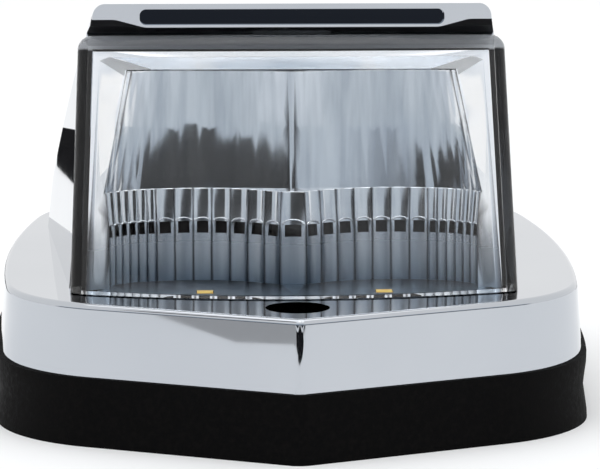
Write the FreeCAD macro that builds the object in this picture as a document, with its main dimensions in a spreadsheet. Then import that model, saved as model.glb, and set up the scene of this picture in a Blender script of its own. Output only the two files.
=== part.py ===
import FreeCAD, Part
import math
import os
import Sketcher

doc = FreeCAD.newDocument("roof_marker_lamp")
sheet = doc.addObject("Spreadsheet::Sheet", "Dims")

# driving sizes in millimetres and degrees
sizes = [
    # plan outline of the base
    ("base_width", "121"),
    ("base_length", "172"),
    ("nose_angle", "24.2"),
    ("nose_radius", "2.5"),
    ("inner_nose", "2.0"),
    ("corner_radius", "30"),
    ("side_radius", "371"),
    ("widest_at", "80"),
    ("tail_radius", "75"),
    ("tail_corner_radius", "40"),
    # casting
    ("skirt_height", "14.5"),
    ("skirt_draft", "4.0"),
    ("deck_edge_radius", "1.2"),
    ("wall", "2.4"),
    ("deck_thickness", "2.6"),
    ("fit", "0.2"),
    ("hole_front_y", "13.2"),
    ("hole_rear_gap", "15"),
    ("seat_diameter", "12.7"),
    ("seat_depth", "6.0"),
    ("screw_hole", "5.5"),
    ("boss_diameter", "17.0"),
    # rubber pad
    ("pad_height", "13.8"),
    ("pad_overhang", "1.3"),
    ("pad_waist", "0.9"),
    ("pad_plug_depth", "3.0"),
    ("pad_hole", "7.0"),
    ("pad_floor", "5.0"),
    ("pad_rim", "7.0"),
    ("column_wall", "2.0"),
    ("lead_hole", "14.0"),
    ("lead_hole_y", "92"),
    # lens and its joint
    ("lens_margin", "15.3"),
    ("lens_draft", "1.6"),
    ("lens_height", "53.8"),
    ("lens_tilt", "21"),
    ("lens_bow", "7.5"),
    ("lens_top_lean", "14.5"),
    ("lens_depth", "6.0"),
    ("lens_wall", "2.4"),
    ("lens_edge_radius", "3.0"),
    ("lens_side_y", "29.5"),
    ("lens_sink", "8"),
    ("tab_width", "16"),
    ("tab_depth", "3.0"),
    ("tab_set", "0.5"),
    ("tab_height", "1.0"),
    ("seal_thickness", "0.8"),
    ("seal_lap", "0.6"),
    ("seal_chamfer", "2.4"),
    ("seal_foot_sink", "4"),
    # hood
    ("hood_inset", "1.2"),
    ("hood_margin", "5.5"),
    ("hood_reach", "9.5"),
    ("hood_length", "108.5"),
    ("hood_lean", "6"),
    ("hood_corner_radius", "18"),
    ("roof_radius", "246"),
    ("roof_end_gap", "4"),
    ("roof_edge_radius", "2.4"),
    ("visor_set", "15.5"),
    ("visor_rise", "3.2"),
    ("visor_depth", "4.8"),
    ("visor_fall", "2.1"),
    ("lip_less", "2"),
    ("lip_run", "6"),
    ("lip_drop", "1.6"),
    ("lip_radius", "5"),
    ("lip_depth", "3"),
    ("slot_width", "62"),
    ("slot_height", "3.2"),
    ("slot_depth", "2.0"),
    ("slot_corner", "1.3"),
    ("slot_drop", "0.3"),
    ("lead_end_gap", "18"),
    # bezel
    ("bezel_clearance", "0.8"),
    ("bezel_front", "2.7"),
    ("bezel_thickness", "2.5"),
    ("bezel_taper", "1.7"),
    ("bezel_side", "4.7"),
    ("opening_taper", "4.4"),
    ("opening_drop", "6.2"),
    ("opening_chamfer", "5"),
    ("bezel_bevel", "1.2"),
    ("bezel_chamfer", "2.0"),
    # mirror
    ("floor_thickness", "0.7"),
    ("floor_gap", "2.0"),
    ("mirror_wall", "1.6"),
    ("cusp_set", "9.5"),
    ("bay_set", "15.2"),
    ("turn_set", "14.4"),
    ("side_set", "12"),
    ("bay_end_set", "8.4"),
    ("bay_gap", "0.1"),
    ("side_in", "3.2"),
    ("turn_in", "9.4"),
    ("bay_share", "0.4167"),
    ("mirror_lean", "8"),
    ("centre_cell", "5.5"),
    ("flute_depth", "0.55"),
    ("lower_top", "9.6"),
    ("window_height", "2.4"),
    ("window_depth", "1.6"),
    ("window_share", "0.62"),
    ("cell_height", "6.6"),
    ("ledge_depth", "1.4"),
    ("upper_share", "0.18"),
    ("upper_cell", "1.5"),
    ("upper_fill", "0.75"),
    ("mirror_mid_share", "0.53"),
    ("mirror_sag", "0.6"),
    ("mirror_top_set", "23.5"),
    ("mirror_top_lap", "0.8"),
    ("mirror_top_bend", "1.0"),
    # tray
    ("tray_inset", "0.2"),
    ("tray_wall", "1.6"),
    ("tray_draft", "4"),
    ("tray_rear_set", "37"),
    ("tray_low", "3.4"),
    ("tray_floor", "1.2"),
    ("tray_top_drop", "9.2"),
    ("tray_rear_drop", "8.6"),
    ("tray_roof", "9.5"),
    ("way_gap", "0.8"),
    ("ear_inset", "10.8"),
    ("ear_set", "5.5"),
    ("ear_diameter", "10"),
    ("ear_height", "6"),
    ("web_width", "6"),
    # board and what it carries
    ("board_gap", "6.8"),
    ("board_thickness", "0.8"),
    ("board_rear_gap", "10"),
    ("board_tip", "2.0"),
    ("tongue_margin", "8"),
    ("tongue_set", "4.5"),
    ("led_width", "3.2"),
    ("led_length", "2.8"),
    ("led_height", "1.5"),
    ("led_set", "1.3"),
    ("led_offset", "2.5"),
    ("mirror_foot", "4.0"),
    ("resistor_length", "3.2"),
    ("resistor_width", "1.6"),
    ("resistor_height", "0.6"),
    ("resistor_pitch", "6.0"),
    ("resistor_gap", "8.0"),
    ("diode_length", "4.6"),
    ("diode_width", "2.6"),
    ("diode_height", "2.2"),
    ("diode_x", "20"),
    ("diode_gap", "6.0"),
    ("suppressor_length", "5.0"),
    ("suppressor_width", "3.6"),
    ("capacitor_diameter", "5.0"),
    ("capacitor_height", "5.4"),
    ("capacitor_x", "13"),
    ("capacitor_gap", "4.0"),
    ("pin_diameter", "1.4"),
    ("pin_height", "3.0"),
    ("pin_x", "3.0"),
    ("pin_gap", "2.5"),
    # screws and bush
    ("small_screw", "3.0"),
    ("small_head", "5.4"),
    ("small_head_height", "1.8"),
    ("board_shank", "4.5"),
    ("screw_wall", "1.5"),
    ("board_screw_in", "2.0"),
    ("board_screw_gap", "3.5"),
    ("grommet_diameter", "9"),
    ("grommet_bore", "4.5"),
    ("grommet_z", "6"),
    ("flange_lap", "1.5"),
    ("flange_thickness", "2.0"),
    # overshoot and reach of cutting forms
    ("over", "1.0"),
    ("reach", "130"),
]
sheet.set("A1", "name")
sheet.set("B1", "size")
for row, (alias, number) in enumerate(sizes, start=2):
    sheet.set("A%d" % row, alias)
    sheet.set("B%d" % row, number)
    sheet.setAlias("B%d" % row, alias)
doc.recompute()


derived = {}
close = 1e-4


class Term:
    # a size together with the formula that binds it to the sheet
    def __init__(self, value, text):
        self.value = float(value)
        self.text = text

    def __add__(self, other):
        other = term(other)
        return Term(self.value + other.value, "(%s + %s)" % (self.text, other.text))

    def __sub__(self, other):
        other = term(other)
        return Term(self.value - other.value, "(%s - %s)" % (self.text, other.text))

    def __mul__(self, other):
        other = term(other)
        return Term(self.value * other.value, "(%s * %s)" % (self.text, other.text))

    def __truediv__(self, other):
        other = term(other)
        return Term(self.value / other.value, "(%s / %s)" % (self.text, other.text))

    def __neg__(self):
        return Term(-self.value, "(0 - %s)" % self.text)


def term(item):
    if isinstance(item, Term):
        return item
    if item in derived:
        return derived[item]
    if isinstance(item, str):
        return Term(float(sheet.get(item)), "Dims.%s" % item)
    return Term(item, repr(float(item)))


def tangent(alias):
    angle = term(alias)
    return Term(math.tan(math.radians(angle.value)), "tan(%s * 1 deg)" % angle.text)


def cosine(alias):
    angle = term(alias)
    return Term(math.cos(math.radians(angle.value)), "cos(%s * 1 deg)" % angle.text)


# sizes that follow from the driving ones
def follow(name, size):
    derived[name] = size


zero = term(0)
follow("lens_bottom_width", term("base_width") - term("lens_margin") * 2)
follow("hood_front_width", term("lens_bottom_width") - term("hood_inset") * 2)
follow("hood_rear_width", term("base_width") - term("hood_margin") * 2)
follow("hood_front_y", term("lens_side_y") - "hood_reach")
follow("hood_rear_y", term("lens_side_y") + "hood_length")
follow("hole_rear_y", term("hood_rear_y") + "hole_rear_gap")
follow("roof_end_y", term("hood_rear_y") - "roof_end_gap")
follow("visor_y", term("lens_side_y") + "visor_set")
follow("visor_top", term("lens_height") + "visor_rise")
follow("visor_low", term("visor_top") - "visor_depth")
follow("lip_width", term("slot_width") - "lip_less")
follow("visor_back", term("visor_low") - "visor_fall")
follow("bezel_low_width", term("lens_bottom_width") - (term("lens_wall") + "bezel_clearance") * 2)
follow("bezel_top_width", term("bezel_low_width") - term("bezel_taper") * 2)
follow("opening_low_width", term("bezel_low_width") - term("bezel_side") * 2)
follow("opening_top_width", term("opening_low_width") - term("opening_taper") * 2)
follow("opening_top", term("lens_height") - "opening_drop")
follow("bay_end_x", term("opening_low_width") / 2 - "bay_gap")
follow("side_x", term("bay_end_x") - "side_in")
follow("turn_x", term("bay_end_x") - "turn_in")
follow("bay_x", term("bay_end_x") * "bay_share")
for name in ("cusp", "bay", "turn", "side", "bay_end", "mirror_top", "tray_rear", "led", "tongue"):
    follow(name + "_y", term("lens_side_y") + (name + "_set"))
follow("ear_y", term("tray_rear_y") + "ear_set")
follow("tray_width", term("bezel_low_width") - term("tray_inset") * 2)
follow("tray_top", term("lens_height") - "tray_top_drop")
follow("tray_rear_top", term("tray_top") - "tray_rear_drop")
follow("ear_x", term("tray_width") / 2 - "ear_inset")
follow("board_width", term("tray_width") - term("board_gap") * 2)
follow("board_front_y", term("led_y") - "board_tip")
follow("board_rear_y", term("tray_rear_y") - "board_rear_gap")
follow("board_screw_x", term("board_width") / 2 - "board_screw_in")
follow("board_screw_y", term("board_rear_y") - "board_screw_gap")
follow("led_spread", (term("bay_x") + "led_offset") * 2)
follow("tongue_width", term("led_spread") + term("tongue_margin") * 2)
frame_mid = term("base_length") / 2
deck_z = term("pad_height") + "skirt_height"
flare = term("skirt_height") * tangent("skirt_draft")
pad_grow = flare + "pad_overhang"
lens_slope = tangent("lens_tilt")


def bind(item, prop, size):
    item.setExpression(prop, term(size).text)


def make_body(name):
    body = doc.addObject("PartDesign::Body", name)
    body.Label = name
    bind(body, "Placement.Base.y", -frame_mid)
    return body


def make_lens_body(name):
    body = doc.addObject("PartDesign::Body", name)
    body.Label = name
    body.Placement = FreeCAD.Placement(
        FreeCAD.Vector(0, (term("lens_side_y") - frame_mid).value, deck_z.value),
        FreeCAD.Rotation(FreeCAD.Vector(-1, 0, 0), term("lens_tilt").value))
    bind(body, "Placement.Base.y", term("lens_side_y") - frame_mid)
    bind(body, "Placement.Base.z", deck_z)
    body.setExpression("Placement.Rotation.Angle", "Dims.lens_tilt * 1 deg")
    return body


def make_sketch(body, name, role, level=zero):
    level = term(level)
    sketch = body.newObject("Sketcher::SketchObject", name)
    plane = [item for item in body.Origin.OriginFeatures if item.Role == role][0]
    sketch.AttachmentSupport = [(plane, "")]
    sketch.MapMode = "FlatFace"
    sketch.AttachmentOffset.Base = FreeCAD.Vector(0, 0, level.value)
    sketch.setExpression("AttachmentOffset.Base.z", level.text)
    return sketch


def lean_sketch(sketch, alias):
    # turns a sketch about its own cross axis
    base = sketch.AttachmentOffset.Base
    turned = FreeCAD.Rotation(FreeCAD.Vector(1, 0, 0), term(alias).value)
    sketch.AttachmentOffset = FreeCAD.Placement(base, turned)
    sketch.setExpression("AttachmentOffset.Rotation.Angle", term(alias).text + " * 1 deg")


def fix(sketch, geo, pos, x, y):
    # ties one point of a sketch to its place from the origin
    for kind, size, axis in (("DistanceX", term(x), -2), ("DistanceY", term(y), -1)):
        if size.text == zero.text:
            sketch.addConstraint(Sketcher.Constraint("PointOnObject", geo, pos, axis))
            continue
        index = sketch.addConstraint(Sketcher.Constraint(kind, -1, 1, geo, pos, size.value))
        sketch.setExpression("Constraints[%d]" % index, size.text)


def polygon(sketch, corners):
    points = [FreeCAD.Vector(term(x).value, term(y).value, 0) for x, y in corners]
    count = len(points)
    for i in range(count):
        sketch.addGeometry(Part.LineSegment(points[i], points[(i + 1) % count]), False)
    for i in range(count):
        sketch.addConstraint(Sketcher.Constraint("Coincident", i, 2, (i + 1) % count, 1))
    for i, (x, y) in enumerate(corners):
        fix(sketch, i, 1, x, y)


def rectangle(sketch, x0, x1, y0, y1):
    polygon(sketch, [(x0, y0), (x1, y0), (x1, y1), (x0, y1)])


def circle(sketch, x, y, diameter):
    size = term(diameter)
    spot = FreeCAD.Vector(term(x).value, term(y).value, 0)
    geo = sketch.addGeometry(Part.Circle(spot, FreeCAD.Vector(0, 0, 1), size.value / 2), False)
    fix(sketch, geo, 3, x, y)
    index = sketch.addConstraint(Sketcher.Constraint("Diameter", geo, size.value))
    sketch.setExpression("Constraints[%d]" % index, size.text)


def outline_centres():
    # centres of the arcs of the plan outline, right half, from nose to tail
    angle = math.radians(term("nose_angle").value)
    nose = term("nose_radius").value
    corner = term("corner_radius").value
    side = term("side_radius").value
    tail = term("tail_radius").value
    tail_corner = term("tail_corner_radius").value
    side_spot = FreeCAD.Vector(term("base_width").value / 2 - side, term("widest_at").value, 0)
    tail_spot = FreeCAD.Vector(0, term("base_length").value - tail, 0)
    normal = FreeCAD.Vector(math.sin(angle), -math.cos(angle), 0)
    along = FreeCAD.Vector(math.cos(angle), math.sin(angle), 0)
    start = FreeCAD.Vector(0, nose, 0) + normal * (nose - corner)
    away = start - side_spot
    half = away.dot(along)
    reach = half * half - away.dot(away) + (side - corner) ** 2
    corner_spot = start + along * (math.sqrt(reach) - half)
    gap = tail_spot - side_spot
    one = side - tail_corner
    two = tail - tail_corner
    near = (one * one - two * two + gap.dot(gap)) / (2 * gap.Length)
    rise = math.sqrt(one * one - near * near)
    unit = gap / gap.Length
    tail_corner_spot = side_spot + unit * near + FreeCAD.Vector(-unit.y, unit.x, 0) * rise
    return corner_spot, side_spot, tail_corner_spot, tail_spot, normal


def joint(inner, outer, radius):
    # point where two arcs that touch from inside meet
    way = outer - inner
    return outer + way * (radius / way.Length)


def outline(sketch, grow, inner=False):
    # closed plan outline, grown outward by one offset; an inner one keeps a round nose of its own
    grow = term(grow)
    corner_spot, side_spot, tail_corner_spot, tail_spot, normal = outline_centres()
    nose = term("inner_nose") if inner else term("nose_radius") + grow
    nose_y = term("nose_radius") + (nose - "nose_radius" - grow) / cosine("nose_angle")
    nose_spot = FreeCAD.Vector(0, nose_y.value, 0)
    corner = term("corner_radius") + grow
    side = term("side_radius") + grow
    tail_corner = term("tail_corner_radius") + grow
    tail = term("tail_radius") + grow
    p1 = nose_spot + normal * nose.value
    p2 = corner_spot + normal * corner.value
    p3 = joint(side_spot, corner_spot, corner.value)
    p4 = joint(side_spot, tail_corner_spot, tail_corner.value)
    p5 = joint(tail_spot, tail_corner_spot, tail_corner.value)
    flip = [FreeCAD.Vector(-p.x, p.y, 0) for p in (p1, p2, p3, p4, p5)]
    far_side = [FreeCAD.Vector(-p.x, p.y, 0) for p in (corner_spot, side_spot, tail_corner_spot)]
    up = FreeCAD.Vector(0, 0, 1)

    def arc(centre, radius, begin, end):
        first = math.atan2(begin.y - centre.y, begin.x - centre.x)
        last = math.atan2(end.y - centre.y, end.x - centre.x)
        return sketch.addGeometry(Part.ArcOfCircle(Part.Circle(centre, up, radius), first, last), False)

    chain = [
        arc(nose_spot, nose.value, flip[0], p1),
        sketch.addGeometry(Part.LineSegment(p1, p2), False),
        arc(corner_spot, corner.value, p2, p3),
        arc(side_spot, side.value, p3, p4),
        arc(tail_corner_spot, tail_corner.value, p4, p5),
        arc(tail_spot, tail.value, p5, flip[4]),
        arc(far_side[2], tail_corner.value, flip[4], flip[3]),
        arc(far_side[1], side.value, flip[3], flip[2]),
        arc(far_side[0], corner.value, flip[2], flip[1]),
        sketch.addGeometry(Part.LineSegment(flip[1], flip[0]), False),
    ]
    for i, geo in enumerate(chain):
        sketch.addConstraint(Sketcher.Constraint("Tangent", geo, 2, chain[(i + 1) % len(chain)], 1))
    for one, two in ((2, 8), (3, 7), (4, 6)):
        sketch.addConstraint(Sketcher.Constraint("Symmetric", one, 3, two, 3, -2))
    fix(sketch, chain[0], 3, zero, nose_y)
    fix(sketch, chain[5], 3, zero, term("base_length") - "tail_radius")
    fix(sketch, chain[3], 3, term("base_width") / 2 - "side_radius", "widest_at")
    for geo, size in ((0, nose), (2, corner), (3, side), (4, tail_corner), (5, tail)):
        index = sketch.addConstraint(Sketcher.Constraint("Radius", geo, size.value))
        sketch.setExpression("Constraints[%d]" % index, size.text)
    angle = term("nose_angle")
    index = sketch.addConstraint(Sketcher.Constraint("Angle", 1, math.radians(angle.value)))
    sketch.setExpression("Constraints[%d]" % index, angle.text + " * 1 deg")


def add_loft(body, name, sketches, kind="AdditiveLoft", ruled=True):
    loft = body.newObject("PartDesign::" + kind, name)
    loft.Profile = sketches[0]
    loft.Sections = sketches[1:]
    loft.Ruled = ruled
    return loft


def add_pad(body, name, sketch, length, down=False, middle=False):
    pad = body.newObject("PartDesign::Pad", name)
    pad.Profile = sketch
    pad.Reversed = down
    pad.Midplane = middle
    pad.Length = term(length).value
    bind(pad, "Length", length)
    return pad


def add_pocket(body, name, sketch, length, up=False, middle=False):
    pocket = body.newObject("PartDesign::Pocket", name)
    pocket.Profile = sketch
    pocket.Reversed = up
    pocket.Midplane = middle
    pocket.Length = term(length).value
    bind(pocket, "Length", length)
    doc.recompute()
    return pocket


def add_fillet(body, name, base, edges, radius):
    fillet = body.newObject("PartDesign::Fillet", name)
    fillet.Base = (base, edges)
    fillet.Radius = term(radius).value
    bind(fillet, "Radius", radius)
    doc.recompute()
    return fillet


def edges_where(feature, test):
    return ["Edge%d" % i for i, edge in enumerate(feature.Shape.Edges, start=1) if test(edge)]


def level_edges(feature, height):
    return edges_where(feature, lambda e: not tall(e) and abs(e.BoundBox.ZMin - height) < close)


def flat_face(feature, height):
    for i, face in enumerate(feature.Shape.Faces, start=1):
        if not tall(face) and abs(face.BoundBox.ZMin - height) < close:
            return "Face%d" % i


def tall(item):
    return item.BoundBox.ZLength > close


def narrow(face):
    return face.BoundBox.XLength < close


def add_draft(body, name, base_feature, height, angle, outward, test=tall):
    # slants upright faces, keeping their line at one height
    draft = body.newObject("PartDesign::Draft", name)
    sides = ["Face%d" % i for i, face in enumerate(base_feature.Shape.Faces, start=1) if test(face)]
    draft.Base = (base_feature, sides)
    draft.NeutralPlane = (base_feature, [flat_face(base_feature, height.value)])
    draft.Reversed = outward
    draft.Angle = term(angle).value
    bind(draft, "Angle", angle)
    doc.recompute()
    return draft


# rubber pad: flared rims with a hollow waist, and a plug that stands up inside the skirt
gasket = make_body("mounting_gasket")
rims = []
# share of the height and share of the waist for each ring, from the foot up
rim_shares = ((0, 0), (0.12, 0.1), (0.5, 1), (0.85, 0.35), (1, 0.3))
for share, inset in rim_shares:
    ring = make_sketch(gasket, "pad_ring_%d" % len(rims), "XY_Plane", term("pad_height") * share)
    outline(ring, pad_grow - term("pad_waist") * inset)
    rims.append(ring)
add_loft(gasket, "pad_form", rims)
plug = make_sketch(gasket, "plug_ring", "XY_Plane", term("pad_height"))
outline(plug, -term("wall") - term("fit") * 2, inner=True)
add_pad(gasket, "pad_plug", plug, "pad_plug_depth")
well = make_sketch(gasket, "pad_well", "XY_Plane", term("pad_height") + "pad_plug_depth")
outline(well, -term("wall") - "pad_rim", inner=True)
add_pocket(gasket, "pad_hollow", well, term("pad_height") + "pad_plug_depth" - "pad_floor")
columns = make_sketch(gasket, "column_rings", "XY_Plane", "pad_floor")
for spot in ("hole_front_y", "hole_rear_y"):
    circle(columns, zero, spot, term("boss_diameter") + term("column_wall") * 2)
add_pad(gasket, "pad_columns", columns, term("pad_height") - "pad_floor")
seats = make_sketch(gasket, "boss_room", "XY_Plane", term("pad_height") + "pad_plug_depth")
for spot in ("hole_front_y", "hole_rear_y"):
    circle(seats, zero, spot, term("boss_diameter") + term("fit") * 4)
add_pocket(gasket, "boss_seats", seats, "pad_plug_depth")
holes = make_sketch(gasket, "pad_holes", "XY_Plane", term("pad_height"))
for spot in ("hole_front_y", "hole_rear_y"):
    circle(holes, zero, spot, "pad_hole")
circle(holes, zero, "lead_hole_y", "lead_hole")
add_pocket(gasket, "pad_through", holes, term("pad_height") + "over")

# casting, lower part: drafted skirt, deck with rounded edge, hollow underside, two sunk screw seats
base = make_body("base_casting")
skirt_top = make_sketch(base, "skirt_top", "XY_Plane", deck_z)
outline(skirt_top, zero)
skirt = add_pad(base, "skirt", skirt_top, "skirt_height", down=True)
doc.recompute()
slanted = add_draft(base, "skirt_slant", skirt, deck_z, "skirt_draft", False)
add_fillet(base, "deck_edge", slanted, level_edges(slanted, deck_z.value), "deck_edge_radius")
under = make_sketch(base, "under_form", "XY_Plane", term("pad_height"))
outline(under, -term("wall"), inner=True)
add_pocket(base, "underside", under, term("skirt_height") - "deck_thickness", up=True)
bosses = make_sketch(base, "boss_rings", "XY_Plane", term("pad_height"))
seat_rings = make_sketch(base, "seat_rings", "XY_Plane", deck_z)
screw_rings = make_sketch(base, "screw_rings", "XY_Plane", deck_z)
for spot in ("hole_front_y", "hole_rear_y"):
    circle(bosses, zero, spot, "boss_diameter")
    circle(seat_rings, zero, spot, "seat_diameter")
    circle(screw_rings, zero, spot, "screw_hole")
add_pad(base, "bosses", bosses, term("skirt_height") - term("deck_thickness") / 2)
add_pocket(base, "screw_seats", seat_rings, "seat_depth")
add_pocket(base, "screw_holes", screw_rings, term("skirt_height") + "over")
lens_half_low = term("lens_bottom_width") / 2
lens_half_top = lens_half_low - term("lens_height") * tangent("lens_draft")


def lens_inner_y(x):
    # inner face of the lens at deck level, at a distance x from the middle
    share = x / lens_half_low
    return term("lens_side_y") - term("lens_bow") + term("lens_bow") * share * share + "lens_wall"


opening_half = term("tray_width") / 2 + "way_gap"
row_steps = 6
front_row = []
for step in range(row_steps + 1):
    x = opening_half * (2 * step / row_steps - 1)
    front_row.append((x, lens_inner_y(x) + "over"))
step_y = term("tray_rear_y") + "over"
lead_half = term("ear_x") - term("ear_diameter") / 2 - "over"
lead_end = term("roof_end_y") - "lead_end_gap"
way_corners = front_row + [
    (opening_half, step_y), (lead_half, step_y), (lead_half, lead_end),
    (-lead_half, lead_end), (-lead_half, step_y), (-opening_half, step_y)]


def lens_plane_y(depth, height):
    # where a plane parallel to the lens, at some depth behind its side edges, crosses a height above the deck
    return term("lens_side_y") + term(depth) / cosine("lens_tilt") + term(height) * lens_slope


def hood_ring(body, name, inset, level, front):
    ring = make_sketch(body, name, "XY_Plane", level)
    inset = term(inset)
    front_half = term("hood_front_width") / 2 - inset
    rear_half = term("hood_rear_width") / 2 - inset
    rear_y = term("hood_rear_y") - inset
    polygon(ring, [(-front_half, front), (front_half, front), (rear_half, rear_y), (-rear_half, rear_y)])
    return ring


def hood_form(body, name, inset, level, corner):
    # block with leaning sides and round rear corners
    ring = hood_ring(body, name + "_ring", inset, level, "hood_front_y")
    block = add_pad(body, name + "_block", ring, deck_z + hood_rise - level)
    doc.recompute()
    middle_y = term("hood_rear_y").value - term("hood_corner_radius").value
    rear_edges = edges_where(block, lambda e: tall(e) and e.BoundBox.YMin > middle_y)
    rounded = add_fillet(body, name + "_corners", block, rear_edges, corner)
    return add_draft(body, name + "_lean", rounded, level, "hood_lean", False)


def roof_cut(body, name, lower):
    # everything above the falling roof line
    sketch = make_sketch(body, name + "_line", "YZ_Plane")
    start_z = deck_z + "visor_top" - lower
    end_z = deck_z - lower
    begin = FreeCAD.Vector(term("visor_y").value, start_z.value, 0)
    end = FreeCAD.Vector(term("roof_end_y").value, end_z.value, 0)
    chord = end - begin
    radius = term("roof_radius")
    fall = math.sqrt(radius.value ** 2 - (chord.Length / 2) ** 2)
    centre = (begin + end) / 2 + FreeCAD.Vector(chord.y, -chord.x, 0) / chord.Length * fall
    last = math.atan2(begin.y - centre.y, begin.x - centre.x)
    first = math.atan2(end.y - centre.y, end.x - centre.x)
    normal = FreeCAD.Vector(0, 0, 1)
    sketch.addGeometry(Part.ArcOfCircle(Part.Circle(centre, normal, radius.value), first, last), False)
    back = term("hood_rear_y") + "roof_end_gap"
    front = term("hood_front_y") - "over"
    above = deck_z + "reach"
    corners = [("visor_y", start_z), (front, start_z), (front, above)]
    corners += [(back, above), (back, end_z), ("roof_end_y", end_z)]
    for one, two in zip(corners, corners[1:]):
        sketch.addGeometry(Part.LineSegment(
            FreeCAD.Vector(term(one[0]).value, term(one[1]).value, 0),
            FreeCAD.Vector(term(two[0]).value, term(two[1]).value, 0)), False)
    count = len(corners) - 1
    sketch.addConstraint(Sketcher.Constraint("Coincident", 0, 2, 1, 1))
    for i in range(1, count):
        sketch.addConstraint(Sketcher.Constraint("Coincident", i, 2, i + 1, 1))
    sketch.addConstraint(Sketcher.Constraint("Coincident", count, 2, 0, 1))
    for i, (x, y) in enumerate(corners[:-1], start=1):
        fix(sketch, i, 1, x, y)
    fix(sketch, count, 2, *corners[-1])
    index = sketch.addConstraint(Sketcher.Constraint("Radius", 0, radius.value))
    sketch.setExpression("Constraints[%d]" % index, radius.text)
    return add_pocket(body, name, sketch, term("hood_rear_width") * 2, middle=True)


# casting, upper part: hood with leaning sides and falling roof, cut off along the lens, with a visor above it
hood_rise = term("visor_top") + "visor_depth"
hood = make_body("hood_casting")
lean = tangent("hood_lean")
hood_sink = term("deck_thickness") / 2
hood_form(hood, "hood", -lean * hood_sink, deck_z - hood_sink, "hood_corner_radius")
roof = roof_cut(hood, "roof", zero)


def is_roof(face):
    # the round falling face, told by its radius
    if not isinstance(face.Surface, Part.Cylinder):
        return False
    return abs(face.Surface.Radius - term("roof_radius").value) < close


roof_face = [face for face in roof.Shape.Faces if is_roof(face)][0]
roof_sides = [edge for edge in roof_face.Edges if edge.BoundBox.YLength > close]
roof_edges = edges_where(roof, lambda e: any(e.isSame(side) for side in roof_sides))
add_fillet(hood, "roof_rounds", roof, roof_edges, "roof_edge_radius")
hood_depth = term("lens_depth") + "seal_thickness"
front_line = make_sketch(hood, "front_line", "YZ_Plane")
deck_under = deck_z - "deck_thickness"
hood_ahead = term("hood_front_y") - "over"
polygon(front_line, [
    (hood_ahead, deck_under),
    (lens_plane_y(hood_depth, -term("deck_thickness")), deck_under),
    (lens_plane_y(hood_depth, "visor_back"), deck_z + "visor_back"),
    (term("visor_y") + "lip_depth" + "over", deck_z + "visor_low"),
    ("visor_y", deck_z + "visor_low"),
    ("visor_y", deck_z + "reach"),
    (hood_ahead, deck_z + "reach")])
front_cut = add_pocket(hood, "front_cut", front_line, term("hood_rear_width") * 2, middle=True)
lip_half = term("lip_width") / 2
lip_end = lip_half + "lip_run"
lip_out = term("hood_rear_width")
lip_low = deck_z + "visor_low"
lip_high = lip_low + "lip_drop"
for side in (-1, 1):
    relief = make_sketch(hood, "lip_relief_form_%d" % (side + 1), "XZ_Plane", -term("visor_y"))
    polygon(relief, [
        (lip_half * side, lip_low), (lip_end * side, lip_high), (lip_out * side, lip_high),
        (lip_out * side, lip_low - "over"), (lip_half * side, lip_low - "over")])
    relieved = add_pocket(hood, "lip_relief_%d" % (side + 1), relief, "lip_depth")


def is_lip_bend(edge):
    # the upper and lower bend of the lip, running front to back
    across = abs(edge.BoundBox.XMin)
    if edge.BoundBox.XLength > close or tall(edge) or edge.BoundBox.YMin > term("visor_y").value + close:
        return False
    return min(abs(across - lip_half.value), abs(across - lip_end.value)) < close


add_fillet(hood, "lip_bends", relieved, edges_where(relieved, is_lip_bend), "lip_radius")
slot = make_sketch(hood, "visor_slot_form", "XZ_Plane", -term("visor_y"))
slot_mid = deck_z + (term("visor_top") + "visor_low") / 2 - "slot_drop"
slot_half = term("slot_width") / 2
slot_rise = term("slot_height") / 2
rectangle(slot, -slot_half, slot_half, slot_mid - slot_rise, slot_mid + slot_rise)
slot_cut = add_pocket(hood, "visor_slot", slot, "slot_depth")


def is_slot_corner(edge):
    return abs(edge.Length - term("slot_depth").value) < close and narrow(edge) and not tall(edge)


add_fillet(hood, "slot_ends", slot_cut, edges_where(slot_cut, is_slot_corner), "slot_corner")

# room inside the hood, open to the front and, through the deck, to the underside
core = make_body("hood_core")
hood_form(core, "core", "wall", deck_z, term("hood_corner_radius") - "wall")
roof_cut(core, "core_roof", term("wall") + term("wall") / 4)
ceiling = make_sketch(core, "ceiling_line", "YZ_Plane")
rectangle(ceiling, hood_ahead, term("hood_rear_y") + "roof_end_gap", deck_z + "visor_back", deck_z + "reach")
add_pocket(core, "ceiling", ceiling, term("hood_rear_width") * 2, middle=True)
way = make_sketch(core, "module_way_form", "XY_Plane", deck_z + "over")
polygon(way, way_corners)
through_deck = term("deck_thickness") + term("over") * 2
add_pad(core, "module_way", way, through_deck, down=True)
ear_holes = make_sketch(core, "ear_holes_form", "XY_Plane", deck_z + "over")
for side in (-1, 1):
    circle(ear_holes, term("ear_x") * side, "ear_y", term("small_screw") + term("fit") * 2)
add_pad(core, "ear_holes", ear_holes, through_deck, down=True)
doc.recompute()

joined = doc.addObject("Part::Fuse", "casting_solid")
joined.Base = base
joined.Tool = hood
housing = doc.addObject("Part::Cut", "lamp_housing")
housing.Base = joined
housing.Tool = core
housing.Label = "lamp_housing"
doc.recompute()


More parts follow.
